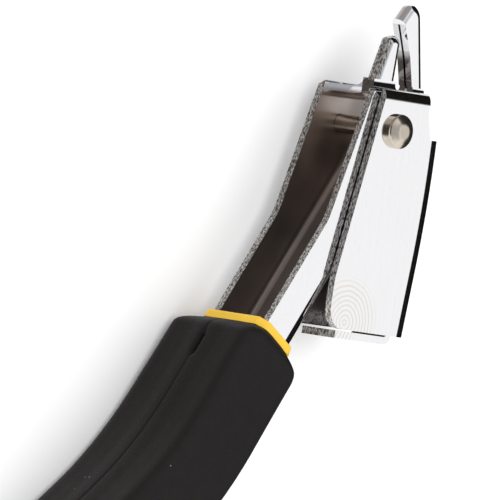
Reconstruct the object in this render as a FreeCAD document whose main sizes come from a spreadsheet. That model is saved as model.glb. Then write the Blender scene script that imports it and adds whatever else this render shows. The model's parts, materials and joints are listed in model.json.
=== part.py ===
import FreeCAD, Part
import math
import os
import Sketcher

# Upholstery staple lifter: a pressed channel handle with a short jaw, a pressed shoe with a
# long jaw that straddles it, one pivot rivet through both, and a sleeved rubber grip.
# Drawing frame: origin on the pivot, +X up towards the jaws, +Y towards the handle's open
# back, +Z across the tool. The finished pieces are moved so that the tool lies on its side
# with the origin under the middle of its box.

DIMENSIONS = {
    # pressed steel of both channels
    "steel": 2.0,
    "running_gap": 0.3,
    # handle channel
    "channel_width": 20.0,
    "channel_depth": 12.6,
    "channel_bend": 4.0,
    "lean": 31.2,
    "web_ahead": 9.9,
    "kink_down": 31.2,
    "upper_lean": 16.3,
    "web_start": -4.0,
    "handle_end": 106.0,
    "shoulder_top": 10.2,
    "shoulder_front": 7.8,
    # short jaw
    "short_back": 0.6,
    "short_tip_back": 3.5,
    "short_tip_front": 8.3,
    "short_reach": 24.8,
    "short_root": 2.0,
    "short_heel": 1.4,
    "short_corner": 1.0,
    "short_nose": 2.0,
    "short_chin": 1.5,
    "short_chin_drop": 1.3,
    "web_reach": 16.0,
    "kink_round": 14.0,
    "shoulder_round": 2.2,
    "root_ease": 0.6,
    "root_skin": 0.15,
    "sheet_skin": 0.5,
    "taper_from": 8.5,
    # lifting shoe
    "edge_min": 0.05,
    "shoe_top": 10.8,
    "shoe_bottom": 52.9,
    "shoe_bend": 3.0,
    "web_bend": 5.0,
    "shoe_front_top": 18.6,
    "shoe_front_mid": 18.9,
    "shoe_front_low": 16.1,
    "shoe_sweep": 300.0,
    "shoe_back_top": 5.6,
    "shoe_back_low": 15.3,
    "shoe_heel_round": 5.5,
    "shoe_bow_at": 20.0,
    "shoe_heel_at": 40.0,
    "relief_drop": 1.0,
    "relief_top": 11.0,
    "relief_low": 13.0,
    "roof_back": 9.0,
    "roof_side_front": 12.4,
    # long jaw
    "long_root_back": 14.2,
    "long_root_front": 19.0,
    "long_seam": 0.7,
    "long_tip_back": 7.3,
    "long_tip_front": 13.2,
    "long_reach": 33.7,
    "long_root": 0.8,
    "long_waist_drop": 14.4,
    "long_waist_back": 4.4,
    "long_waist_round": 30.0,
    "beak_drop": 5.6,
    "beak_back": 0.5,
    "beak_edge": 1.5,
    "hook_drop": 4.7,
    "hook_back": 0.6,
    "tip_rise": 0.4,
    "tip_front": 3.0,
    "tip_round": 2.3,
    "brow_drop": 1.9,
    "brow_front": 0.7,
    "brow_round": 4.2,
    # floor tab of the shoe
    "tab_back": 5.3,
    "tab_half": 5.9,
    "tab_drop": 2.5,
    # pivot rivet
    "rivet_shank": 5.0,
    "rivet_clearance": 0.08,
    "rivet_seat": 0.02,
    "rivet_crown": 3.0,
    "rivet_lip": 0.9,
    "rivet_head": 9.0,
    "rivet_wall": 1.5,
    "rivet_height": 2.7,
    # yellow sleeve
    "collar_down": 64.6,
    "collar_height": 2.5,
    "collar_width": 23.0,
    "collar_behind": 5.5,
    "collar_ahead": 11.8,
    "collar_corner": 4.0,
    "collar_back_corner": 2.4,
    "collar_round": 1.5,
    "sleeve_wall": 1.0,
    "sleeve_fit": 0.05,
    "sleeve_end": 109.0,
    # rubber grip
    "grip_gap": 0.3,
    "grip_width": 30.0,
    "grip_behind": 11.2,
    "grip_ahead": 13.8,
    "grip_bend_at": 114.0,
    "grip_bend": 17.6,
    "grip_bend_round": 125.0,
    "grip_end": 172.0,
    "grip_butt": 10.0,
    "grip_lip": 2.5,
}

doc = FreeCAD.newDocument("StapleLifter")
sheet = doc.addObject("Spreadsheet::Sheet", "Size")
for row, (alias, number) in enumerate(DIMENSIONS.items(), start=1):
    sheet.set(f"A{row}", alias)
    sheet.set(f"B{row}", str(number))
    sheet.setAlias(f"B{row}", alias)
doc.recompute()

FAR = "150"
SIDES = (1, -1)


def number(expression):
    """The value of an expression over the sheet."""
    return float(sheet.evalExpression(str(expression).replace("Size.", "")))


def tilted(down, behind):
    """Drawing coordinates of a point given along the handle and behind its pivot line."""
    along_x = f"-({down}) * cos(Size.lean) + ({behind}) * sin(Size.lean)"
    along_y = f"({down}) * sin(Size.lean) + ({behind}) * cos(Size.lean)"
    return along_x, along_y


def new_body(label):
    body = doc.addObject("PartDesign::Body", label)
    body.Label = label
    return body


def new_sketch(body, name, plane, lift=None, turn=None):
    """A sketch on one of the body's own planes; turn is about the tool's cross axis."""
    role = {"side": "XY_Plane", "section": "XZ_Plane", "plan": "YZ_Plane"}[plane]
    support = [item for item in body.Origin.OriginFeatures if item.Role == role][0]
    sketch = body.newObject("Sketcher::SketchObject", name)
    sketch.AttachmentSupport = [(support, "")]
    sketch.MapMode = "FlatFace"
    if turn is not None:
        axis = FreeCAD.Vector(0, 0, 1) if plane == "side" else FreeCAD.Vector(0, 1, 0)
        turned = FreeCAD.Rotation(axis, number(turn))
        sketch.AttachmentOffset = FreeCAD.Placement(FreeCAD.Vector(), turned)
        sketch.setExpression("AttachmentOffset.Rotation.Angle", turn)
    if lift is not None and turn is None:
        sketch.setExpression("AttachmentOffset.Base.z", lift)
    if lift is not None and turn is not None:
        sketch.setExpression("AttachmentOffset.Base.x", f"({lift}) * sin({turn})")
        sketch.setExpression("AttachmentOffset.Base.z", f"({lift}) * cos({turn})")
    return sketch


def pin_point(sketch, geometry, place, corner):
    """Hold a point of the sketch at a corner given by two expressions."""
    for kind, expression in zip(("DistanceX", "DistanceY"), corner):
        value = number(expression)
        if abs(value) < 1e-9:
            line = -2 if kind == "DistanceX" else -1
            sketch.addConstraint(Sketcher.Constraint("PointOnObject", geometry, place, line))
        else:
            index = sketch.addConstraint(
                Sketcher.Constraint(kind, -1, 1, geometry, place, value))
            sketch.setExpression(f"Constraints[{index}]", expression)


def draw_outline(sketch, corners):
    """Close a loop of straight edges; a corner with a third value is rounded to that radius."""
    points = [FreeCAD.Vector(number(c[0]), number(c[1]), 0) for c in corners]
    count = len(points)
    rounds = []
    for i, corner in enumerate(corners):
        if len(corner) < 3:
            rounds.append(None)
            continue
        into = (points[i] - points[i - 1]).normalize()
        out = (points[(i + 1) % count] - points[i]).normalize()
        half_turn = into.getAngle(out) / 2
        radius = number(corner[2])
        reach = radius * math.tan(half_turn)
        left = into.cross(out).z > 0
        start = points[i] - into * reach
        finish = points[i] + out * reach
        side = FreeCAD.Vector(-into.y, into.x, 0) * (radius if left else -radius)
        rounds.append((start, finish, start + side, radius, left))
    lines = []
    for i in range(count):
        after = (i + 1) % count
        begin = rounds[i][1] if rounds[i] else points[i]
        end = rounds[after][0] if rounds[after] else points[after]
        lines.append(sketch.addGeometry(Part.LineSegment(begin, end), False))
    for i, corner in enumerate(corners):
        before = lines[i - 1]
        line = lines[i]
        if rounds[i] is None:
            sketch.addConstraint(Sketcher.Constraint("Coincident", before, 2, line, 1))
            pin_point(sketch, line, 1, corner)
            continue
        start, finish, centre, radius, left = rounds[i]
        first, last = (start, finish) if left else (finish, start)
        circle = Part.Circle(centre, FreeCAD.Vector(0, 0, 1), radius)
        arc = sketch.addGeometry(
            Part.ArcOfCircle(circle, circle.parameter(first), circle.parameter(last)), False)
        into_end, out_end = (1, 2) if left else (2, 1)
        sketch.addConstraint(Sketcher.Constraint("Tangent", before, 2, arc, into_end))
        sketch.addConstraint(Sketcher.Constraint("Tangent", line, 1, arc, out_end))
        index = sketch.addConstraint(Sketcher.Constraint("Radius", arc, radius))
        sketch.setExpression(f"Constraints[{index}]", corner[2])
        tip = sketch.addGeometry(Part.Point(points[i]), True)
        pin_point(sketch, tip, 1, corner)
        sketch.addConstraint(Sketcher.Constraint("PointOnObject", tip, 1, before))
        sketch.addConstraint(Sketcher.Constraint("PointOnObject", tip, 1, line))


def draw_frame(sketch, reach=FAR):
    """A large square round an outline, so that a pocket keeps only what lies inside it."""
    draw_outline(sketch, [(f"-{reach}", f"-{reach}"), (reach, f"-{reach}"), (reach, reach),
                          (f"-{reach}", reach)])


def draw_circle(sketch, radius):
    circle = sketch.addGeometry(Part.Circle(FreeCAD.Vector(), FreeCAD.Vector(0, 0, 1),
                                            number(radius)), False)
    sketch.addConstraint(Sketcher.Constraint("Coincident", circle, 3, -1, 1))
    index = sketch.addConstraint(Sketcher.Constraint("Radius", circle, number(radius)))
    sketch.setExpression(f"Constraints[{index}]", radius)


def add_pad(body, name, sketch, length, both_ways=True, backwards=False):
    pad = body.newObject("PartDesign::Pad", name)
    pad.Profile = sketch
    pad.Midplane = both_ways
    pad.Reversed = backwards
    pad.setExpression("Length", length)
    doc.recompute()
    return pad


def add_pocket(body, name, sketch, length, both_ways=True, backwards=False):
    """Cut with a sketch and make sure that the cut removed something."""
    before = body.Shape.Volume
    pocket = body.newObject("PartDesign::Pocket", name)
    pocket.Profile = sketch
    pocket.Midplane = both_ways
    pocket.Reversed = backwards
    pocket.setExpression("Length", length)
    doc.recompute()
    if not body.Shape.Volume < before - 1e-3:
        raise RuntimeError(f"{name} cut nothing")
    return pocket


def edges_where(shape, test):
    """Names of the edges whose middle point and direction satisfy the test."""
    names = []
    for index, edge in enumerate(shape.Edges, start=1):
        if edge.Length < number("Size.edge_min"):
            continue
        middle = edge.valueAt((edge.FirstParameter + edge.LastParameter) / 2)
        heading = edge.tangentAt((edge.FirstParameter + edge.LastParameter) / 2)
        if test(middle, heading, edge):
            names.append(f"Edge{index}")
    return names


def add_fillet(body, name, radius, test):
    base = body.Tip
    names = edges_where(base.Shape, test)
    if not names:
        raise RuntimeError(f"{name} found no edges")
    fillet = body.newObject("PartDesign::Fillet", name)
    fillet.Base = (base, names)
    fillet.setExpression("Radius", radius)
    doc.recompute()
    if fillet.State and "Invalid" in fillet.State:
        raise RuntimeError(f"{name} failed on {names}")
    return fillet


def near(value, target, slack=0.02):
    return abs(value - target) < slack


def make_handle_channel():
    body = new_body("handle_channel")
    half = "Size.channel_width / 2"
    inner_half = "(Size.channel_width / 2 - Size.steel)"
    inner_bend = "(Size.channel_bend - Size.steel)"
    free_edge = "(Size.channel_depth - Size.web_ahead)"
    inner_web = "-(Size.web_ahead - Size.steel)"

    # short jaw plate, two sheets thick, with a rounded front edge
    sketch = new_sketch(body, "short_jaw_outline", "side")
    draw_outline(sketch, [
        ("Size.shoulder_top - Size.steel / 2", "-Size.short_back + Size.short_heel"),
        ("Size.short_reach - Size.short_corner", "-Size.short_tip_back", "Size.short_corner"),
        ("Size.short_reach", "-(Size.short_tip_back + Size.short_tip_front) / 2", "Size.short_nose"),
        ("Size.short_reach - Size.short_chin_drop", "-Size.short_tip_front", "Size.short_chin"),
        ("Size.shoulder_top - Size.steel / 2", "-Size.shoulder_front"),
    ])
    add_pad(body, "short_jaw", sketch, "2 * Size.steel")
    shoulder = number("Size.shoulder_top")
    front = -number("Size.shoulder_front")
    add_fillet(body, "short_jaw_nose", "Size.steel * 0.9",
               lambda m, h, e: abs(h.x) > 0.9 and m.y < front and m.x > shoulder)

    # section across the top: flanges, bends, shoulder and the root of the jaw
    sketch = new_sketch(body, "shoulder_section", "section")
    top = "Size.shoulder_top"
    under = "(Size.shoulder_top - Size.steel)"
    draw_outline(sketch, [
        ("0", f"-{half}"),
        (top, f"-{half}", "Size.channel_bend"),
        (top, "-Size.steel", "Size.short_root"),
        (f"{top} + Size.short_root + Size.root_ease", "-Size.steel"),
        (f"{top} + Size.short_root + Size.root_ease", "Size.steel"),
        (top, "Size.steel", "Size.short_root"),
        (top, half, "Size.channel_bend"),
        ("0", half),
        ("0", inner_half),
        (under, inner_half, inner_bend),
        (under, "Size.root_skin", "Size.short_root + Size.steel - Size.root_skin"),
        (f"{top} + Size.short_root", "Size.root_skin"),
        (f"{top} + Size.short_root", "-Size.root_skin"),
        (under, "-Size.root_skin", "Size.short_root + Size.steel - Size.root_skin"),
        (under, f"-{inner_half}", inner_bend),
        ("0", f"-{inner_half}"),
    ])
    add_pad(body, "shoulder", sketch, "100")

    # channel, drawn square to the lower handle
    sketch = new_sketch(body, "channel_section", "plan", "-Size.web_start", "-Size.lean")
    draw_outline(sketch, [
        ("-Size.web_ahead", f"-{half}", "Size.channel_bend"),
        ("Size.web_reach", f"-{half}"),
        ("Size.web_reach", f"-{inner_half}"),
        (inner_web, f"-{inner_half}", inner_bend),
        (inner_web, inner_half, inner_bend),
        ("Size.web_reach", inner_half),
        ("Size.web_reach", half),
        ("-Size.web_ahead", half, "Size.channel_bend"),
    ])
    add_pad(body, "channel", sketch, "Size.handle_end - Size.web_start", False, True)

    # side outline of the bent sheet
    kink = tilted("Size.kink_down", free_edge)
    skin_top = f"{top} + Size.sheet_skin"
    top_back = (skin_top, f"{kink[1]} - ({skin_top} - ({kink[0]})) * tan(Size.upper_lean)")
    web_corner = tilted("Size.web_start", "-Size.web_ahead")
    sketch = new_sketch(body, "sheet_outline", "side")
    draw_frame(sketch)
    draw_outline(sketch, [
        tilted("Size.handle_end + 5", free_edge),
        kink + ("Size.kink_round",),
        top_back + ("Size.shoulder_round",),
        (f"{top} + Size.sheet_skin", "-Size.short_back + Size.short_heel + Size.sheet_skin"),
        (f"{top} + Size.short_root", "-Size.short_back + Size.short_heel - 0.3"),
        (f"{top} + 20", "6"),
        (f"{top} + 20", "-20"),
        (f"{top} + Size.short_root", "-Size.shoulder_front - 0.9"),
        (f"{top} + Size.short_root", "-Size.shoulder_front"),
        (f"{top} - Size.channel_bend", "-Size.shoulder_front"),
        web_corner,
        tilted("Size.web_start", "-Size.web_ahead - 3"),
        tilted("Size.handle_end + 5", "-Size.web_ahead - 3"),
    ])
    add_pocket(body, "sheet_trim", sketch, "120")

    # the shoulder narrows from the flanges to the jaw
    sketch = new_sketch(body, "shoulder_taper_outline", "plan", f"{under} - 0.6")
    draw_outline(sketch, [
        ("-Size.short_back + 1.0", "Size.steel"),
        ("-Size.short_back + 1.0", "-Size.steel"),
        ("Size.taper_from", f"-{inner_half}"),
        ("30", f"-{inner_half}"),
        ("30", inner_half),
        ("Size.taper_from", inner_half),
    ])
    add_pocket(body, "shoulder_taper", sketch, "20", False, True)

    # running hole for the rivet
    sketch = new_sketch(body, "pivot_hole_outline", "side")
    draw_circle(sketch, "Size.rivet_shank / 2 + Size.rivet_clearance")
    add_pocket(body, "pivot_hole", sketch, "2 * Size.channel_width")
    return body


# Lifting shoe: one pressing. Two side plates and a bowed front web straddle the handle; the
# roof over the front draws in to a nose and rises as the folded long jaw, and a narrow tab is
# bent under the heel.
def make_lifting_shoe():
    body = new_body("lifting_shoe")
    inner_half = "(Size.channel_width / 2 + Size.running_gap)"
    half = "(Size.channel_width / 2 + Size.running_gap + Size.steel)"
    jaw_half = "(Size.steel + Size.long_seam / 2)"
    top = "Size.shoe_top"
    under = "(Size.shoe_top - Size.steel)"
    relief = "-Size.relief_drop"

    # long jaw plate with its rounded, hooked tip
    sketch = new_sketch(body, "long_jaw_outline", "side")
    draw_outline(sketch, [
        (f"{top} - Size.steel / 2", "-Size.long_root_back - 0.3"),
        ("Size.long_reach - Size.long_waist_drop", "-Size.long_tip_back - Size.long_waist_back",
         "Size.long_waist_round"),
        ("Size.long_reach - Size.beak_drop", "-Size.long_tip_back - Size.beak_back", "Size.beak_edge"),
        ("Size.long_reach - Size.hook_drop", "-Size.long_tip_back + Size.hook_back"),
        ("Size.long_reach + Size.tip_rise", "-Size.long_tip_back - Size.tip_front", "Size.tip_round"),
        ("Size.long_reach - Size.brow_drop", "-Size.long_tip_front - Size.brow_front", "Size.brow_round"),
        (f"{top} - Size.steel / 2", "-Size.long_root_front"),
    ])
    add_pad(body, "long_jaw", sketch, f"2 * {jaw_half}")
    front = -number("Size.long_tip_front")
    add_fillet(body, "long_jaw_nose", f"{jaw_half} - 0.45",
               lambda m, h, e: m.y < front and abs(h.z) < 0.5 and abs(h.y) < abs(h.x)
               and abs(m.z) > 1 and e.Length > 10)

    # section across the top: plates, bends, roof and the root of the jaw
    sketch = new_sketch(body, "roof_section", "section")
    draw_outline(sketch, [
        ("-10", f"-{half}"),
        (top, f"-{half}", "Size.shoe_bend"),
        (top, f"-{jaw_half}", "Size.long_root"),
        (f"{top} + Size.long_root + 0.4", f"-{jaw_half}"),
        (f"{top} + Size.long_root + 0.4", jaw_half),
        (top, jaw_half, "Size.long_root"),
        (top, half, "Size.shoe_bend"),
        ("-10", half),
        ("-10", inner_half),
        (under, inner_half, "Size.shoe_bend - Size.steel"),
        (under, f"-{inner_half}", "Size.shoe_bend - Size.steel"),
        ("-10", f"-{inner_half}"),
    ])
    add_pad(body, "roof", sketch, "100")

    # side outline of the upper plates, the roof and the root of the jaw
    slope = (f"(Size.long_root_front - Size.long_tip_front - Size.brow_front)"
             f" / (Size.long_reach - Size.brow_drop - {top} + Size.steel / 2)")
    root_top = f"({top} + Size.long_root + 0.45)"
    front_low = f"-Size.long_root_front - 1.4 * {slope}"
    front_high = f"-Size.long_root_front + (Size.steel / 2 + Size.long_root + 0.45) * {slope}"
    sketch = new_sketch(body, "upper_outline", "side")
    draw_frame(sketch)
    draw_outline(sketch, [
        ("-20", "30"),
        ("-20", "-Size.relief_low"),
        (relief, "-Size.relief_low"),
        (f"{under} - 2.5", "-Size.relief_top"),
        (f"{under} - 0.4", "-Size.relief_top - 0.6"),
        (f"{under} - 0.4", front_low),
        (root_top, front_high),
        (root_top, "-30"),
        ("60", "-30"),
        ("60", "0"),
        (root_top, "0"),
        (root_top, "-Size.long_root_back"),
        (top, "-Size.long_root_back"),
        (top, "30"),
    ])
    add_pocket(body, "upper_trim", sketch, "120")

    # the roof is open over the handle's shoulder and drawn in to the nose at the front
    sketch = new_sketch(body, "roof_window_outline", "plan", f"{under} - 3")
    draw_outline(sketch, [
        ("-Size.roof_back", f"-{inner_half}"),
        ("60", f"-{inner_half}"),
        ("60", inner_half),
        ("-Size.roof_back", inner_half),
    ])
    add_pocket(body, "roof_window", sketch, "6", False, True)
    for side, name in zip(SIDES, ("near", "far")):
        edge = f"{side} * "
        sketch = new_sketch(body, f"nose_{name}_outline", "plan", f"{under} - 1.2")
        draw_outline(sketch, [
            ("-Size.relief_top", f"{edge}({half} + 0.5)"),
            ("-Size.roof_side_front", f"{edge}({half} - Size.shoe_bend)"),
            ("-Size.long_root_front + 0.4", f"{edge}({jaw_half} + 0.1)"),
            ("-40", f"{edge}({jaw_half} + 0.1)"),
            ("-40", f"{edge}({half} + 0.5)"),
        ])
        add_pocket(body, f"nose_{name}", sketch, "3.6", False, True)

    # lower plates and the bowed web between them
    bottom = "-Size.shoe_bottom"
    sketch = new_sketch(body, "lower_outline", "side")
    draw_outline(sketch, [
        (relief, "-Size.shoe_front_top"),
        ("-Size.shoe_bow_at", "-Size.shoe_front_mid", "Size.shoe_sweep"),
        (bottom, "-Size.shoe_front_low"),
        (bottom, "30"),
        (relief, "30"),
    ])
    add_pad(body, "lower_shoe", sketch, f"2 * {half}")
    plate = number(half)
    add_fillet(body, "web_bend", "Size.web_bend",
               lambda m, h, e: m.y < -number("Size.shoe_front_low") and m.x < 0
               and near(abs(m.z), plate) and e.Length > 4)
    sketch = new_sketch(body, "inside_outline", "side")
    draw_outline(sketch, [
        ("2", "-Size.shoe_front_top + Size.steel"),
        ("-Size.shoe_bow_at", "-Size.shoe_front_mid + Size.steel", "Size.shoe_sweep"),
        (f"{bottom} - 4", "-Size.shoe_front_low + Size.steel - 0.3"),
        (f"{bottom} - 4", "40"),
        ("2", "40"),
    ])
    add_pocket(body, "inside", sketch, f"2 * {inner_half}")
    hollow = number(inner_half)
    add_fillet(body, "web_inner_bend", "Size.web_bend - Size.steel",
               lambda m, h, e: m.y < -number("Size.shoe_front_low") + 3 and m.x < -2
               and near(abs(m.z), hollow) and e.Length > 10 and abs(h.x) > 0.9)

    # back edge of both plates, with the heel rounded
    sketch = new_sketch(body, "back_outline", "side")
    rise = "(Size.shoe_back_low - Size.shoe_back_top) / (Size.shoe_top + Size.shoe_heel_at)"
    draw_outline(sketch, [
        ("20", f"Size.shoe_back_top - (20 - Size.shoe_top) * {rise}"),
        ("20", "60"),
        (f"{bottom} - 10", "60"),
        (f"{bottom} - 10", "Size.shoe_back_low - 12"),
        (bottom, "Size.shoe_back_low - 12"),
        (bottom, "Size.shoe_back_low", "Size.shoe_heel_round"),
        ("-Size.shoe_heel_at", "Size.shoe_back_low", "30"),
    ])
    add_pocket(body, "back_trim", sketch, f"2 * {half} + 4")

    # tab bent under the heel from the bottom of the web
    drop = f"({bottom} - Size.tab_drop)"
    low_slope = "(Size.shoe_front_mid - Size.shoe_front_low) / (Size.shoe_bottom - Size.shoe_bow_at)"
    sketch = new_sketch(body, "tab_outline", "side")
    draw_outline(sketch, [
        (f"{bottom} + 3", f"-Size.shoe_front_low - 3 * {low_slope}"),
        (drop, f"-Size.shoe_front_low + Size.tab_drop * {low_slope}", "Size.shoe_bend"),
        (drop, "Size.tab_back"),
        (f"{drop} + Size.steel", "Size.tab_back"),
        (f"{drop} + Size.steel", "-Size.shoe_front_low + Size.steel", "Size.shoe_bend - Size.steel"),
        (f"{bottom} + 3", f"-Size.shoe_front_low + Size.steel - 3 * {low_slope}"),
    ])
    add_pad(body, "floor_tab", sketch, "2 * Size.tab_half")

    # open seam between the two layers of the long jaw, flared where they part at the roof
    sketch = new_sketch(body, "seam_outline", "side")
    draw_outline(sketch, [
        (f"{under} - 1", f"-Size.long_root_front + {jaw_half}"),
        ("Size.long_reach - 6", f"-Size.long_tip_front - 1.1 + {jaw_half}"),
        ("Size.long_reach - 6", "0"),
        (f"{under} - 1", "0"),
    ])
    add_pocket(body, "seam", sketch, "Size.long_seam")
    sketch = new_sketch(body, "seam_flare_outline", "section", "Size.roof_back - 2")
    flare = "(Size.long_root + Size.steel)"
    draw_outline(sketch, [
        (f"{under} - 1", f"Size.long_seam / 2 + {flare} + 0.3"),
        (under, f"Size.long_seam / 2 + {flare} + 0.3"),
        (under, "Size.long_seam / 2", flare),
        (f"{under} + {flare} + 0.2", "Size.long_seam / 2"),
        (f"{under} + {flare} + 0.2", "-Size.long_seam / 2"),
        (under, "-Size.long_seam / 2", flare),
        (under, f"-Size.long_seam / 2 - {flare} - 0.3"),
        (f"{under} - 1", f"-Size.long_seam / 2 - {flare} - 0.3"),
    ])
    add_pocket(body, "seam_flare", sketch,
               f"Size.long_root_front - Size.roof_back + 2 - {jaw_half}", False, True)

    # close hole for the rivet
    sketch = new_sketch(body, "rivet_hole_outline", "side")
    draw_circle(sketch, "Size.rivet_shank / 2 + Size.rivet_seat")
    add_pocket(body, "rivet_hole", sketch, f"2 * {half} + 4")
    return body


# Pivot rivet: a plain shank with a tall domed head at each side of the shoe.
def make_pivot_rivet():
    body = new_body("pivot_rivet")
    face = "(Size.channel_width / 2 + Size.running_gap + Size.steel)"
    sketch = new_sketch(body, "rivet_profile", "section")
    crown = f"({face} + Size.rivet_height)"
    draw_outline(sketch, [
        ("0", f"-{crown}"),
        ("Size.rivet_head * 0.28", f"-{crown}", "Size.rivet_crown"),
        ("Size.rivet_head / 2", f"-{face} - Size.rivet_wall", "Size.rivet_lip"),
        ("Size.rivet_head / 2", f"-{face}"),
        ("Size.rivet_shank / 2", f"-{face}"),
        ("Size.rivet_shank / 2", face),
        ("Size.rivet_head / 2", face),
        ("Size.rivet_head / 2", f"{face} + Size.rivet_wall", "Size.rivet_lip"),
        ("Size.rivet_head * 0.28", crown, "Size.rivet_crown"),
        ("0", crown),
    ])
    turned = body.newObject("PartDesign::Revolution", "rivet")
    turned.Profile = sketch
    turned.ReferenceAxis = (sketch, ["V_Axis"])
    turned.Angle = 360
    doc.recompute()
    return body


# Yellow sleeve: hard plastic, pushed over the channel, with the collar that shows above the
# rubber.
def make_grip_sleeve():
    body = new_body("grip_sleeve")
    half = "Size.collar_width / 2"
    wall = "(Size.channel_width / 2 + Size.sleeve_fit + Size.sleeve_wall)"
    inner = "(Size.channel_width / 2 + Size.sleeve_fit)"
    sketch = new_sketch(body, "collar_outline", "plan", "-Size.collar_down", "-Size.lean")
    cut = "Size.collar_corner"
    back_cut = "Size.collar_back_corner"
    draw_outline(sketch, [
        ("-Size.collar_ahead", f"-{half} + {cut}", "Size.collar_round"),
        (f"-Size.collar_ahead + {cut}", f"-{half}", "Size.collar_round"),
        (f"Size.collar_behind - {back_cut}", f"-{half}", "Size.collar_round"),
        ("Size.collar_behind", f"-{half} + {back_cut}", "Size.collar_round"),
        ("Size.collar_behind", f"{half} - {back_cut}", "Size.collar_round"),
        (f"Size.collar_behind - {back_cut}", half, "Size.collar_round"),
        (f"-Size.collar_ahead + {cut}", half, "Size.collar_round"),
        ("-Size.collar_ahead", f"{half} - {cut}", "Size.collar_round"),
    ])
    add_pad(body, "collar", sketch, "Size.collar_height", False, True)
    top = number("Size.collar_down")
    lean = math.radians(number("Size.lean"))
    down = FreeCAD.Vector(-math.cos(lean), math.sin(lean), 0)
    add_fillet(body, "collar_edge", "0.5",
               lambda m, h, e: near(m.dot(down), top) and abs(h.dot(down)) < 0.01)
    sketch = new_sketch(body, "sleeve_outline", "plan",
                        "-Size.collar_down - Size.collar_height / 2", "-Size.lean")
    ahead = "(Size.web_ahead + Size.sleeve_fit + Size.sleeve_wall)"
    behind = "(Size.channel_depth - Size.web_ahead + Size.sleeve_fit + Size.sleeve_wall)"
    draw_outline(sketch, [
        (f"-{ahead}", f"-{wall}", "Size.channel_bend"),
        (behind, f"-{wall}", "2"),
        (behind, wall, "2"),
        (f"-{ahead}", wall, "Size.channel_bend"),
    ])
    add_pad(body, "sleeve", sketch,
            "Size.sleeve_end - Size.collar_down - Size.collar_height / 2", False, True)
    sketch = new_sketch(body, "channel_socket_outline", "plan", "-Size.collar_down + 2",
                        "-Size.lean")
    draw_outline(sketch, [
        ("-Size.web_ahead - Size.sleeve_fit", f"-{inner}", "Size.channel_bend"),
        ("Size.channel_depth - Size.web_ahead + Size.sleeve_fit", f"-{inner}"),
        ("Size.channel_depth - Size.web_ahead + Size.sleeve_fit", inner),
        ("-Size.web_ahead - Size.sleeve_fit", inner, "Size.channel_bend"),
    ])
    add_pocket(body, "channel_socket", sketch,
               "Size.handle_end - Size.collar_down + 2 + 0.3", False, False)
    return body


# Rubber grip: soft moulded cover over the sleeve, bowed back towards the palm.
def make_rubber_grip():
    body = new_body("rubber_grip")
    top = "(Size.collar_down + Size.collar_height)"
    bent = "Size.grip_bend"
    run = "(Size.grip_end - Size.grip_bend_at)"
    sketch = new_sketch(body, "grip_outline", "side", None, "180 - Size.lean")
    far_front = (f"Size.grip_bend_at + {run} * cos({bent}) + Size.grip_ahead * sin({bent})",
                 f"-{run} * sin({bent}) + Size.grip_ahead * cos({bent})")
    far_back = (f"Size.grip_bend_at + {run} * cos({bent}) - Size.grip_behind * sin({bent})",
                f"-{run} * sin({bent}) - Size.grip_behind * cos({bent})")
    turn = f"tan({bent} / 2)"
    draw_outline(sketch, [
        (top, "-Size.grip_behind", "Size.grip_lip"),
        (f"Size.grip_bend_at - Size.grip_behind * {turn}", "-Size.grip_behind",
         "Size.grip_bend_round - Size.grip_behind"),
        far_back + ("Size.grip_butt",),
        far_front + ("Size.grip_butt",),
        (f"Size.grip_bend_at + Size.grip_ahead * {turn}", "Size.grip_ahead",
         "Size.grip_bend_round + Size.grip_ahead"),
        (top, "Size.grip_ahead", "Size.grip_lip"),
    ])
    add_pad(body, "grip", sketch, "Size.grip_width")
    side = number("Size.grip_width / 2")
    add_fillet(body, "grip_corners", "Size.grip_lip",
               lambda m, h, e: near(abs(m.z), side) and abs(h.z) < 0.1)
    wall = "(Size.channel_width / 2 + Size.sleeve_fit + Size.sleeve_wall + Size.grip_gap)"
    ahead = "(Size.web_ahead + Size.sleeve_fit + Size.sleeve_wall + Size.grip_gap)"
    behind = ("(Size.channel_depth - Size.web_ahead + Size.sleeve_fit + Size.sleeve_wall"
              " + Size.grip_gap)")
    sketch = new_sketch(body, "sleeve_socket_outline", "plan", f"-{top} + 5", "-Size.lean")
    draw_outline(sketch, [
        (f"-{ahead}", f"-{wall}", "Size.channel_bend"),
        (behind, f"-{wall}", "2"),
        (behind, wall, "2"),
        (f"-{ahead}", wall, "Size.channel_bend"),
    ])
    add_pocket(body, "sleeve_socket", sketch, f"Size.sleeve_end - {top} + 5 + 0.3",
               False, False)
    return body


# Every finished piece is checked before anything is written.
pieces = [
    make_handle_channel(),
    make_lifting_shoe(),
    make_pivot_rivet(),
    make_grip_sleeve(),
    make_rubber_grip(),
]
doc.recompute()
faults = [item.Name for item in doc.Objects if "Invalid" in item.State or "Error" in item.State]
faults += [body.Label for body in pieces if body.Shape.isNull() or not body.Shape.isValid()]
if faults:
    raise RuntimeError(f"not sound: {faults}")

# The tool lies on its side: its box's lowest plane is the floor and its middle the origin.
box = FreeCAD.BoundBox()
for body in pieces:
    box.add(body.Shape.BoundBox)
shift = FreeCAD.Vector(-box.Center.x, -box.Center.y, -box.ZMin)
for body in pieces:
    body.Placement = FreeCAD.Placement(shift, FreeCAD.Rotation())
doc.recompute()
print("pivot axis at", shift)

os.makedirs("parts", exist_ok=True)
for body in pieces:
    shape = body.Shape
    print(body.Label, len(shape.Solids), round(shape.Volume, 1), shape.BoundBox)
    shape.exportStep(f"parts/{body.Label}.step")
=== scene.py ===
import json
import math

import bmesh
import bpy
from mathutils import Matrix, Vector


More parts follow.
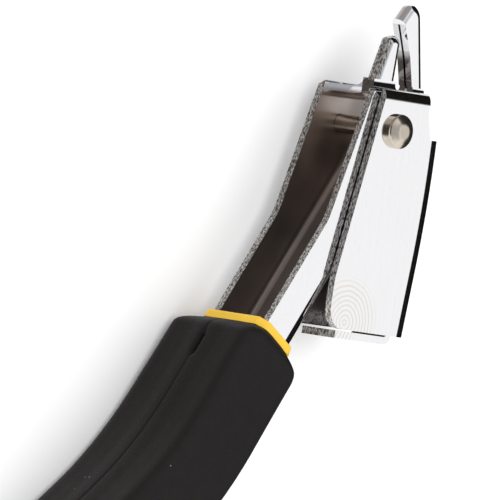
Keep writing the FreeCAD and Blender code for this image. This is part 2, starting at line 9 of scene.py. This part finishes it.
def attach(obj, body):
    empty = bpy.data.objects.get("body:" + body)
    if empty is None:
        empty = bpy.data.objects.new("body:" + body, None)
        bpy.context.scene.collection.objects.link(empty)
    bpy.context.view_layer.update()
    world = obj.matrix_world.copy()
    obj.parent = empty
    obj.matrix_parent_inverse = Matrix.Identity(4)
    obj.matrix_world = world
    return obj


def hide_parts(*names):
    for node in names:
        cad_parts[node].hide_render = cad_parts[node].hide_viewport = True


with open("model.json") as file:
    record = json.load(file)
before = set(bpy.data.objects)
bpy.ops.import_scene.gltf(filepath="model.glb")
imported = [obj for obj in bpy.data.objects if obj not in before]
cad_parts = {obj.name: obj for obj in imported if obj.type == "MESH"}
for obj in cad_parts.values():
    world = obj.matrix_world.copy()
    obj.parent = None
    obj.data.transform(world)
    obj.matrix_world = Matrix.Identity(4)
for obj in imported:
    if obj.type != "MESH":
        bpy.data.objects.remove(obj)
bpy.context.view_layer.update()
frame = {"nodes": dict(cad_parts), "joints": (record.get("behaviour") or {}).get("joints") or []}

# ---------------------------------------------------------------------------------------
# Handle channel: 2 mm steel strip pressed to a U with its back left open, polished and
# chromed. The presses leave the sheared edges grainy. Plating runs thin inside the U, with a
# painted highlight towards the rivet.
# ---------------------------------------------------------------------------------------
MM = 0.001
pivot = Vector(frame["joints"][0]["pos_m"])
handle_lean = math.radians(31.2)
down_handle = Vector((-math.cos(handle_lean), math.sin(handle_lean), 0))
ahead = Vector((-math.sin(handle_lean), -math.cos(handle_lean), 0))
channel_inner_half = 8.0 * MM
channel_web_inside = 7.9 * MM
bright_from = 9.6 * MM
bright_blend = 1.6 * MM
short_jaw_from = pivot.x + 12.0 * MM
edge_blend = 0.5 * MM
edge_grace = 0.15 * MM
haze_size = 1.6
wave_size = 14.0
grain_size = 0.32
grain_stretch = 0.33
streak_size = 1.1
streak_stretch = 0.06
# Where the painted highlight inside the U begins and where it is full, back from the rivet.
highlight_from = 26.0 * MM
highlight_full = 2.0 * MM
inside_roughness = 0.32
edge_roughness = 0.42


def srgb(code):
    """Linear colour for an sRGB hex code."""
    parts = [int(code[i:i + 2], 16) / 255 for i in (1, 3, 5)]
    linear = [p / 12.92 if p <= 0.04045 else ((p + 0.055) / 1.055) ** 2.4 for p in parts]
    return (*linear, 1)


def add_node(tree, kind, settings=None, **links):
    """Adds a node; settings are properties or input values, links are input = output socket."""
    node = tree.nodes.new(kind)
    for name, value in (settings or {}).items():
        if isinstance(name, str) and hasattr(node, name):
            setattr(node, name, value)
        else:
            node.inputs[name].default_value = value
    for name, socket in links.items():
        key = int(name[1:]) if name[1:].isdigit() else name.replace("_", " ")
        tree.links.new(socket, node.inputs[key])
    return node


def new_material(name):
    """An empty node material with its shader, output and object coordinates."""
    material = bpy.data.materials.new(name)
    material.use_nodes = True
    tree = material.node_tree
    tree.nodes.clear()
    output = add_node(tree, "ShaderNodeOutputMaterial")
    place = add_node(tree, "ShaderNodeTexCoord")
    return material, tree, output, place


def ramp_between(tree, value, low, high, out_low=0.0, out_high=1.0):
    """A soft step of the value from low to high."""
    return add_node(tree, "ShaderNodeMapRange",
                    {"interpolation_type": "SMOOTHSTEP", 1: low, 2: high, 3: out_low, 4: out_high},
                    _0=value).outputs[0]


def times(tree, first, second):
    """The product of two values."""
    product = add_node(tree, "ShaderNodeMath", {"operation": "MULTIPLY"}, _0=first, _1=second)
    return product.outputs[0]


def noise(tree, place, size_mm, detail):
    """Noise with features of the given size in millimetres."""
    return add_node(tree, "ShaderNodeTexNoise", {"Scale": 1 / (size_mm * MM), "Detail": detail},
                    Vector=place).outputs["Fac"]


def sheared_edge_mask(tree, place, inner_half, from_x, to_x):
    """1 on the sheet's cut edges: those outside inner_half, and those that face back past to_x."""
    normal = add_node(tree, "ShaderNodeSeparateXYZ", _0=place.outputs["Normal"])
    spot = add_node(tree, "ShaderNodeSeparateXYZ", _0=place.outputs["Object"])
    across = add_node(tree, "ShaderNodeMath", {"operation": "SUBTRACT", 1: pivot.z},
                      _0=spot.outputs["Z"])
    across = add_node(tree, "ShaderNodeMath", {"operation": "ABSOLUTE"}, _0=across.outputs[0])
    sideways = add_node(tree, "ShaderNodeMath", {"operation": "ABSOLUTE"}, _0=normal.outputs["Z"])
    on_wall = ramp_between(tree, across.outputs[0], inner_half - edge_grace, inner_half)
    cut = ramp_between(tree, sideways.outputs[0], 0.45, 0.3)
    backward = ramp_between(tree, normal.outputs["Y"], -0.25, -0.1)
    wall_edge = times(tree, times(tree, on_wall, cut), backward)
    in_zone = ramp_between(tree, spot.outputs["X"], from_x, to_x)
    faces_back = ramp_between(tree, normal.outputs["Y"], 0.3, 0.45)
    return add_node(tree, "ShaderNodeMath", {"operation": "MAXIMUM"}, _0=wall_edge,
                    _1=times(tree, in_zone, faces_back)).outputs[0]


def mix_number(tree, factor, low, high):
    """A number that runs from low to high with the factor."""
    return ramp_between(tree, factor, 0.0, 1.0, low, high)


def mix_colour(tree, factor, first, second):
    """A colour that runs from first to second, each a fixed colour or a socket."""
    node = add_node(tree, "ShaderNodeMix", {"data_type": "RGBA"})
    tree.links.new(factor, node.inputs[0])
    for slot, colour in ((6, first), (7, second)):
        if isinstance(colour, tuple):
            node.inputs[slot].default_value = colour
        else:
            tree.links.new(colour, node.inputs[slot])
    return node.outputs[2]


def chrome_plate(name, inner_half, dull_inside, from_x, to_x, buffed=None):
    """Bright chrome over pressed steel: mirror faces, grainy grey sheared edges."""
    material, tree, output, place = new_material(name)
    where = place.outputs["Object"]
    edge = sheared_edge_mask(tree, place, inner_half, from_x, to_x)
    # Pressing leaves slow waves in the sheet, and polishing leaves a fine haze.
    haze = noise(tree, where, haze_size, 4.0)
    waves = noise(tree, where, wave_size, 1.0)
    # The shear's grain runs along the tool, so it is drawn out to three times its width.
    drawn_out = add_node(tree, "ShaderNodeVectorMath",
                         {"operation": "MULTIPLY", 1: (grain_stretch, 1, 1)}, _0=where)
    grain = noise(tree, drawn_out.outputs[0], grain_size, 3.0)
    face = mix_colour(tree, haze, srgb("#EFEFF1"), srgb("#F7F7F8"))
    if buffed:
        face = mix_colour(tree, buffed(tree, where), face, srgb("#E7E1D9"))
    speckle = ramp_between(tree, grain, 0.38, 0.62)
    cut = mix_colour(tree, speckle, srgb("#625F5D"), srgb("#F6F4F1"))
    roughness = mix_number(tree, haze, 0.03, 0.09)
    inside = dull_inside(tree, place)
    # Plating thins out inside a U, so it is duller there. Its grey turns to a light warm tone
    # towards the rivet, a painted highlight.
    along = add_node(tree, "ShaderNodeSeparateXYZ", _0=where).outputs["X"]
    highlight_towards_rivet = ramp_between(tree, along, pivot.x - highlight_from, pivot.x - highlight_full)
    dull_plate_and_highlight = mix_colour(tree, highlight_towards_rivet, srgb("#8F8B89"), srgb("#E0D2CB"))
    dull_plate_and_highlight = mix_colour(tree, ramp_between(tree, waves, 0.35, 0.65), dull_plate_and_highlight,
                            srgb("#A59C98"))
    face = mix_colour(tree, inside, face, dull_plate_and_highlight)
    roughness = add_node(tree, "ShaderNodeMix", {}, _0=inside, _2=roughness)
    roughness.inputs[3].default_value = inside_roughness
    colour = mix_colour(tree, edge, face, cut)
    rough = add_node(tree, "ShaderNodeMix", {}, _0=edge, _2=roughness.outputs[0])
    rough.inputs[3].default_value = edge_roughness
    wave_bump = add_node(tree, "ShaderNodeBump", {"Strength": 0.12, "Distance": 0.12 * MM},
                         Height=waves)
    # The polishing belt leaves shallow streaks along the tool.
    streaked = add_node(tree, "ShaderNodeVectorMath",
                        {"operation": "MULTIPLY", 1: (streak_stretch, 1, 1)}, _0=where)
    streak_bump = add_node(tree, "ShaderNodeBump", {"Strength": 0.22, "Distance": 0.05 * MM},
                           Height=noise(tree, streaked.outputs[0], streak_size, 3.0),
                           Normal=wave_bump.outputs[0])
    grain_bump = add_node(tree, "ShaderNodeBump", {"Distance": 0.16 * MM},
                          Height=grain, Strength=edge, Normal=streak_bump.outputs[0])
    shader = add_node(tree, "ShaderNodeBsdfPrincipled", {"Metallic": 1.0},
                      Base_Color=colour, Roughness=rough.outputs[0], Normal=grain_bump.outputs[0])
    tree.links.new(shader.outputs[0], output.inputs[0])
    return material


def inside_channel(tree, place):
    """1 on the faces inside the U, where the plating is thin and dull and a highlight is painted.
    """
    spot = add_node(tree, "ShaderNodeSeparateXYZ", _0=place.outputs["Object"])
    across = add_node(tree, "ShaderNodeMath", {"operation": "SUBTRACT", 1: pivot.z},
                      _0=spot.outputs["Z"])
    across = add_node(tree, "ShaderNodeMath", {"operation": "ABSOLUTE"}, _0=across.outputs[0])
    between = ramp_between(tree, across.outputs[0], channel_inner_half + 0.3 * MM,
                           channel_inner_half + 0.05 * MM)
    offset = add_node(tree, "ShaderNodeVectorMath", {"operation": "SUBTRACT", 1: pivot},
                      _0=place.outputs["Object"])
    forward = add_node(tree, "ShaderNodeVectorMath", {"operation": "DOT_PRODUCT", 1: ahead},
                       _0=offset.outputs[0])
    behind_web = ramp_between(tree, forward.outputs["Value"], channel_web_inside + 0.5 * MM,
                              channel_web_inside + 0.1 * MM)
    below_jaw = ramp_between(tree, spot.outputs["X"], pivot.x + bright_from,
                             pivot.x + bright_from - bright_blend)
    return times(tree, times(tree, between, behind_web), below_jaw)


def dress(node_name, material):
    """Gives a CAD node its finish."""
    piece = frame["nodes"][node_name]
    piece.data.materials.clear()
    piece.data.materials.append(material)


dress("handle_channel", chrome_plate("chromed_pressed_steel_handle", channel_inner_half,
                                     inside_channel, short_jaw_from,
                                     short_jaw_from + edge_blend))

# ---------------------------------------------------------------------------------------
# Lifting shoe: the same chromed sheet, folded round the handle to two plates, a bowed web
# and a roof, with the roof's front folded double into the long beaked jaw.
# ---------------------------------------------------------------------------------------
shoe_inner_half = 10.3 * MM
shoe_tab_top = 48.5 * MM
tab_from = pivot.x - shoe_tab_top
buff_centre = (pivot.x - 51.0 * MM, pivot.y + 9.5 * MM, 0)
buff_reach = 13.0 * MM
buff_spacing = 1.25 * MM
buff_wobble = 1.6 * MM
wobble_size = 9.0


def inside_shoe(tree, place):
    """1 on the faces between the plates, in front of the sheared edges and above the tab."""
    spot = add_node(tree, "ShaderNodeSeparateXYZ", _0=place.outputs["Object"])
    normal = add_node(tree, "ShaderNodeSeparateXYZ", _0=place.outputs["Normal"])
    across = add_node(tree, "ShaderNodeMath", {"operation": "SUBTRACT", 1: pivot.z},
                      _0=spot.outputs["Z"])
    across = add_node(tree, "ShaderNodeMath", {"operation": "ABSOLUTE"}, _0=across.outputs[0])
    between = ramp_between(tree, across.outputs[0], shoe_inner_half + 0.3 * MM,
                           shoe_inner_half + 0.05 * MM)
    faces_back = ramp_between(tree, normal.outputs["Y"], -0.4, -0.2)
    above_tab = ramp_between(tree, spot.outputs["X"], tab_from - MM, tab_from)
    below_roof = ramp_between(tree, spot.outputs["X"], pivot.x + bright_from,
                              pivot.x + bright_from - bright_blend)
    return times(tree, times(tree, between, faces_back), times(tree, above_tab, below_roof))


def buffing_rings(tree, where):
    """Faint rings about the heel of each plate, where the buffing wheel was lifted off."""
    flat = add_node(tree, "ShaderNodeVectorMath", {"operation": "MULTIPLY", 1: (1, 1, 0)},
                    _0=where)
    offset = add_node(tree, "ShaderNodeVectorMath", {"operation": "SUBTRACT", 1: buff_centre},
                      _0=flat.outputs[0])
    away = add_node(tree, "ShaderNodeVectorMath", {"operation": "LENGTH"}, _0=offset.outputs[0])
    wobble = add_node(tree, "ShaderNodeMath", {"operation": "MULTIPLY", 1: buff_wobble},
                      _0=noise(tree, where, wobble_size, 1.0))
    bent = add_node(tree, "ShaderNodeMath", {"operation": "ADD"}, _0=away.outputs["Value"],
                    _1=wobble.outputs[0])
    turns = add_node(tree, "ShaderNodeMath",
                     {"operation": "MULTIPLY", 1: 2 * math.pi / buff_spacing},
                     _0=bent.outputs[0])
    wave = add_node(tree, "ShaderNodeMath", {"operation": "SINE"}, _0=turns.outputs[0])
    crest = ramp_between(tree, wave.outputs[0], 0.1, 0.95)
    fade = ramp_between(tree, away.outputs["Value"], buff_reach, buff_reach * 0.7)
    return times(tree, crest, fade)


dress("lifting_shoe", chrome_plate("chromed_pressed_steel_shoe", shoe_inner_half, inside_shoe,
                                   tab_from, tab_from - edge_blend, buffing_rings))

# ---------------------------------------------------------------------------------------
# Pivot rivet: one turned steel pin, nickel plated, its two tall domed heads formed over the
# plates. Nickel is a little warmer than chrome and shows faint turning rings.
# ---------------------------------------------------------------------------------------
turning_ring = 1.6 * MM
rivet_haze_size = 1.2


def nickel_plate(name):
    """Nickel over turned steel: a warm satin mirror with faint turning rings."""
    material, tree, output, place = new_material(name)
    offset = add_node(tree, "ShaderNodeVectorMath",
                      {"operation": "SUBTRACT", 1: (pivot.x, pivot.y, 0)},
                      _0=place.outputs["Object"])
    rings = add_node(tree, "ShaderNodeTexWave",
                     {"wave_type": "RINGS", "rings_direction": "Z", "Scale": 1 / turning_ring,
                      "Distortion": 1.2, "Detail": 2.0}, Vector=offset.outputs[0])
    haze = noise(tree, place.outputs["Object"], rivet_haze_size, 3.0)
    colour = mix_colour(tree, haze, srgb("#CFC3B4"), srgb("#E4DACB"))
    rough = mix_number(tree, haze, 0.16, 0.24)
    bump = add_node(tree, "ShaderNodeBump", {"Strength": 0.15, "Distance": 0.02 * MM},
                    Height=rings.outputs["Fac"])
    shader = add_node(tree, "ShaderNodeBsdfPrincipled", {"Metallic": 1.0},
                      Base_Color=colour, Roughness=rough, Normal=bump.outputs[0])
    tree.links.new(shader.outputs[0], output.inputs[0])
    return material


dress("pivot_rivet", nickel_plate("nickel_plated_steel_rivet"))

# ---------------------------------------------------------------------------------------
# Grip sleeve: moulded yellow plastic, pushed onto the channel's end, with a collar that
# shows above the rubber. Plastic of this sort has a satin skin and slight flow marks.
# ---------------------------------------------------------------------------------------
flow_mark_size = 6.0
skin_size = 0.35


def moulded_plastic(name):
    """Yellow plastic: a satin skin with slow flow marks of a lighter yellow."""
    material, tree, output, place = new_material(name)
    flow = noise(tree, place.outputs["Object"], flow_mark_size, 3.0)
    skin = noise(tree, place.outputs["Object"], skin_size, 2.0)
    colour = mix_colour(tree, flow, srgb("#DDAE1E"), srgb("#F0C636"))
    rough = mix_number(tree, skin, 0.3, 0.45)
    bump = add_node(tree, "ShaderNodeBump", {"Strength": 0.2, "Distance": 0.03 * MM}, Height=skin)
    shader = add_node(tree, "ShaderNodeBsdfPrincipled", {"IOR": 1.53},
                      Base_Color=colour, Roughness=rough, Normal=bump.outputs[0])
    tree.links.new(shader.outputs[0], output.inputs[0])
    return material


dress("grip_sleeve", moulded_plastic("moulded_yellow_plastic"))

# ---------------------------------------------------------------------------------------
# Rubber grip: soft black cover moulded over the sleeve, bowed back to suit the palm. It
# swells from its rounded top edge, has a soft ridge along each back corner, and carries
# the mould's parting line down the middle of its back, with a small slit near the top.
# ---------------------------------------------------------------------------------------
grip_top = 67.1
grip_behind = 11.2
grip_ahead = 13.8
grip_half_top = 14.1
grip_half = 14.95
grip_straight = 27.55
grip_bend_radius = 125.0
grip_bend_angle = math.radians(17.6)
grip_length = 104.6
grip_stations = 96
shoulder_depth = 6.0
shoulder_side_depth = 3.2
shoulder_back = 5.6
shoulder_side = 2.3
butt_round = 9.5
groove_width = 0.32
groove_depth = 0.28
hollow_depth = 0.35
hollow_from = 1.5
hollow_full = 6.0
ridge_edge = 0.5
slit_width = 0.65
slit_depth = 2.2
slit_from = 8.5
slit_to = 14.5
slit_blend = 1.0
grip_around = 360
top_squareness = 3.8
full_squareness = 9.0
swell_length = 46.0
mottle_size = 5.0
pebble_size = 0.5
dust_spacing = 3.2


def grip_line(run):
    """Point and forward direction on the grip's middle line, run millimetres from its top."""
    bend = min(max(run - grip_straight, 0) / grip_bend_radius, grip_bend_angle)
    straight = min(run, grip_straight)
    tail = max(run - grip_straight - grip_bend_angle * grip_bend_radius, 0)
    along = grip_top + straight + grip_bend_radius * math.sin(bend) + tail * math.cos(bend)
    back = grip_bend_radius * (1 - math.cos(bend)) + tail * math.sin(bend)
    point = pivot + (down_handle * along - ahead * back) * MM
    forward = (ahead * math.cos(bend) + down_handle * math.sin(bend))
    return point, forward


def smooth(value, low, high):
    """0 to 1 as the value goes from low to high, flat at both ends."""
    t = min(max((value - low) / (high - low), 0.0), 1.0)
    return t * t * (3 - 2 * t)


def rounded_section(angle, back, front, half, power):
    """Forward and sideways distance of a rounded rectangle, at an angle from straight back."""
    c, s = math.cos(angle), math.sin(angle)
    depth = back if c > 0 else front
    reach = (abs(c) ** power + abs(s) ** power) ** (-1 / power)
    return -c * reach * depth, s * reach * half


def sloped_round(run, length):
    """0 to 1 along a slope that eases into the full section."""
    return math.sin(math.pi / 2 * min(run / length, 1))


def quarter_round(run, length):
    """0 to 1 along a quarter of an ellipse, from an edge to the full section."""
    return math.sqrt(max(0.0, 1 - (1 - min(run / length, 1)) ** 2))


def build_grip():
    """The cover's skin, ring by ring from its top edge to the butt."""
    mesh = bpy.data.meshes.new("rubber_grip_cover")
    bm = bmesh.new()
    rings = []
    for i in range(grip_stations + 1):
        # Stations crowd towards both rounded ends.
        run = grip_length * (0.5 - 0.5 * math.cos(math.pi * i / grip_stations))
        point, forward = grip_line(run)
        top, end = sloped_round(run, shoulder_depth), quarter_round(grip_length - run, butt_round)
        side_top = sloped_round(run, shoulder_side_depth)
        swell = smooth(run, 0, swell_length)
        half = grip_half_top + (grip_half - grip_half_top) * swell
        half -= shoulder_side * (1 - side_top) + butt_round * (1 - end)
        back = grip_behind - shoulder_back * (1 - top) - butt_round * (1 - end)
        front = grip_ahead - shoulder_side * (1 - side_top) - butt_round * (1 - end)
        squared = smooth(run, 0, shoulder_depth)
        squareness = top_squareness + (full_squareness - top_squareness) * squared
        ring = []
        for k in range(grip_around):
            angle = 2 * math.pi * k / grip_around
            forward_mm, across_mm = rounded_section(angle, back, front, half, squareness)
            if math.cos(angle) > 0.5:
                # The parting line is a fine groove, and the back is a little hollow beside it.
                groove = math.exp(-(across_mm / groove_width) ** 2) * groove_depth * end * top
                hollow = (smooth(abs(across_mm), hollow_from, hollow_full)
                          * smooth(half - abs(across_mm), ridge_edge, hollow_full))
                slit = (math.exp(-(across_mm / slit_width) ** 2)
                        * smooth(run, slit_from - slit_blend, slit_from)
                        * smooth(slit_to - run, -slit_blend, 0))
                forward_mm += hollow_depth * hollow * top + groove + slit_depth * slit
            offset = forward * (forward_mm * MM) + Vector((0, 0, across_mm * MM))
            ring.append(bm.verts.new(point + offset))
        rings.append(ring)
    for lower, upper in zip(rings, rings[1:]):
        for k in range(grip_around):
            after = (k + 1) % grip_around
            bm.faces.new((lower[k], lower[after], upper[after], upper[k]))
    bm.faces.new(rings[0][::-1])
    bm.faces.new(rings[-1])
    bmesh.ops.recalc_face_normals(bm, faces=bm.faces)
    for face in bm.faces:
        face.smooth = len(face.verts) == 4
    bm.to_mesh(mesh)
    bm.free()
    cover = bpy.data.objects.new("rubber_grip_cover", mesh)
    bpy.context.scene.collection.objects.link(cover)
    return cover


def moulded_rubber(name):
    """Black rubber: matte brownish black, slightly mottled, with dust specks."""
    material, tree, output, place = new_material(name)
    where = place.outputs["Object"]
    mottle = noise(tree, where, mottle_size, 5.0)
    pebble = noise(tree, where, pebble_size, 3.0)
    colour = mix_colour(tree, mottle, srgb("#0F0C0B"), srgb("#181413"))
    specks = add_node(tree, "ShaderNodeTexVoronoi", {"Scale": 1 / (dust_spacing * MM)},
                      Vector=where)
    dot = ramp_between(tree, specks.outputs["Distance"], 0.055, 0.035)
    chosen = add_node(tree, "ShaderNodeSeparateColor", _0=specks.outputs["Color"])
    rare = ramp_between(tree, chosen.outputs[0], 0.80, 0.82)
    colour = mix_colour(tree, times(tree, dot, rare), colour, srgb("#A8A39C"))
    rough = mix_number(tree, pebble, 0.55, 0.75)
    bump = add_node(tree, "ShaderNodeBump", {"Strength": 0.35, "Distance": 0.08 * MM},
                    Height=pebble)
    shader = add_node(tree, "ShaderNodeBsdfPrincipled", {"IOR": 1.52, "Specular IOR Level": 0.36},
                      Base_Color=colour, Roughness=rough, Normal=bump.outputs[0])
    tree.links.new(shader.outputs[0], output.inputs[0])
    return material


grip = build_grip()
grip.data.materials.append(moulded_rubber("moulded_black_rubber"))
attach(grip, "handle")
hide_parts("rubber_grip")

# ---------------------------------------------------------------------------------------
# Table: a plain matte white card, laid a hair under the tool. It is kept out of the steel's
# reflections, which show the tent alone.
# ---------------------------------------------------------------------------------------
card_width = 6.0
card_drop = 0.2 * MM
card_tone_size = 60.0


def matte_sheet(name):
    """White card: matte, and very slightly uneven in tone."""
    material, tree, output, place = new_material(name)
    tone = noise(tree, place.outputs["Object"], card_tone_size, 2.0)
    colour = mix_colour(tree, tone, srgb("#F4F4F4"), srgb("#F8F8F8"))
    shader = add_node(tree, "ShaderNodeBsdfPrincipled", {"Roughness": 0.85}, Base_Color=colour)
    tree.links.new(shader.outputs[0], output.inputs[0])
    return material


bpy.ops.mesh.primitive_plane_add(size=card_width, location=(0, 0, -card_drop))
table = bpy.context.object
table.name = "table_sheet"
table.data.materials.append(matte_sheet("matte_white_card"))
table.visible_glossy = False

# ---------------------------------------------------------------------------------------
# Light: a white tent hung with dark flags beyond the jaws, round the camera, beside it and
# below it, as polished steel needs something dark to reflect. Two soft boxes light the card.
# ---------------------------------------------------------------------------------------
world = bpy.data.worlds.new("light_tent")
world.use_nodes = True
bpy.context.scene.world = world
sky = world.node_tree
sky.nodes.clear()
look = add_node(sky, "ShaderNodeTexCoord").outputs["Generated"]


def dark_flag(direction, edge, core):
    """0 behind a dark flag that hangs in the given direction, 1 elsewhere."""
    towards = add_node(sky, "ShaderNodeVectorMath",
                       {"operation": "DOT_PRODUCT", 1: Vector(direction).normalized()}, _0=look)
    return ramp_between(sky, towards.outputs["Value"], core, edge)


beyond_jaws = dark_flag((0.60, -0.70, 0.30), 0.77, 0.84)
beyond_web = dark_flag((0.0, -1.0, 0.0), 0.74, 0.80)
beside_camera = dark_flag((0.62, 0.365, 0.0), 0.45, 0.85)
round_camera = dark_flag((0.0, 0.72, 0.69), 0.82, 0.93)
below_camera = dark_flag((0.0, 0.72, -0.69), 0.80, 0.90)
tent = mix_colour(sky, beside_camera, srgb("#97918E"), srgb("#FFFFFF"))
tent = mix_colour(sky, round_camera, srgb("#2B2725"), tent)
tent = mix_colour(sky, below_camera, srgb("#4A4542"), tent)
overhead = add_node(sky, "ShaderNodeSeparateXYZ", _0=look).outputs["Z"]
tent = mix_colour(sky, ramp_between(sky, overhead, 0.72, 0.96), tent, srgb("#B4B7BB"))
tent = mix_colour(sky, times(sky, beyond_jaws, beyond_web), srgb("#151312"), tent)
shiny = add_node(sky, "ShaderNodeLightPath").outputs["Is Glossy Ray"]
seen = mix_colour(sky, shiny, srgb("#FFFFFF"), tent)
backdrop = add_node(sky, "ShaderNodeBackground", {}, Color=seen,
                    Strength=mix_number(sky, shiny, 1.32, 1.0))
sky_out = add_node(sky, "ShaderNodeOutputWorld")
sky.links.new(backdrop.outputs[0], sky_out.inputs[0])


def soft_box(name, place, power, size):
    """A square lamp aimed at the middle of the tool, kept out of the steel's reflections."""
    light = bpy.data.lights.new(name, "AREA")
    light.energy = power
    light.size = size
    lamp = bpy.data.objects.new(name, light)
    lamp.location = place
    lamp.rotation_euler = (Vector((0, 0, 0)) - Vector(place)).to_track_quat("-Z", "Y").to_euler()
    lamp.visible_glossy = False
    bpy.context.scene.collection.objects.link(lamp)


soft_box("key_box", (-0.3, 0.5, 1.3), 1.5, 1.0)
soft_box("fill_box", (0.4, -0.5, 1.4), 1.5, 1.0)

# ---------------------------------------------------------------------------------------
# Camera: above the open back of the tool, with the jaws upwards in the frame. It stands five
# metres off behind a long lens, so that parallel edges stay almost parallel.
# ---------------------------------------------------------------------------------------
camera_distance = 5.0
camera_pitch = math.radians(43.06)
camera_lead = math.radians(0.09)
camera_roll = math.radians(-8.42)
camera_side = -29.35 * MM
camera_rise = -32.1 * MM
camera_scale = 3.846
frame_width = 500

back = Vector((math.sin(camera_lead), math.cos(camera_lead) * math.cos(camera_pitch),
               math.cos(camera_lead) * math.sin(camera_pitch)))
up_flat = Vector((math.cos(camera_lead), -math.sin(camera_lead) * math.cos(camera_pitch),
                  -math.sin(camera_lead) * math.sin(camera_pitch)))
right_flat = up_flat.cross(back)
up = up_flat * math.cos(camera_roll) + right_flat * math.sin(camera_roll)
right = right_flat * math.cos(camera_roll) - up_flat * math.sin(camera_roll)
lens = bpy.data.cameras.new("view_lens")
lens.sensor_width = 36.0
lens.lens = camera_scale * camera_distance / MM / frame_width * lens.sensor_width
lens.clip_end = 4 * camera_distance
camera = bpy.data.objects.new("view", lens)
spot = pivot + right * camera_side + up * camera_rise + back * camera_distance
camera.matrix_world = Matrix((right, up, back)).transposed().to_4x4()
camera.location = spot
bpy.context.scene.collection.objects.link(camera)
bpy.context.scene.camera = camera
bpy.context.scene.view_settings.view_transform = "Standard"
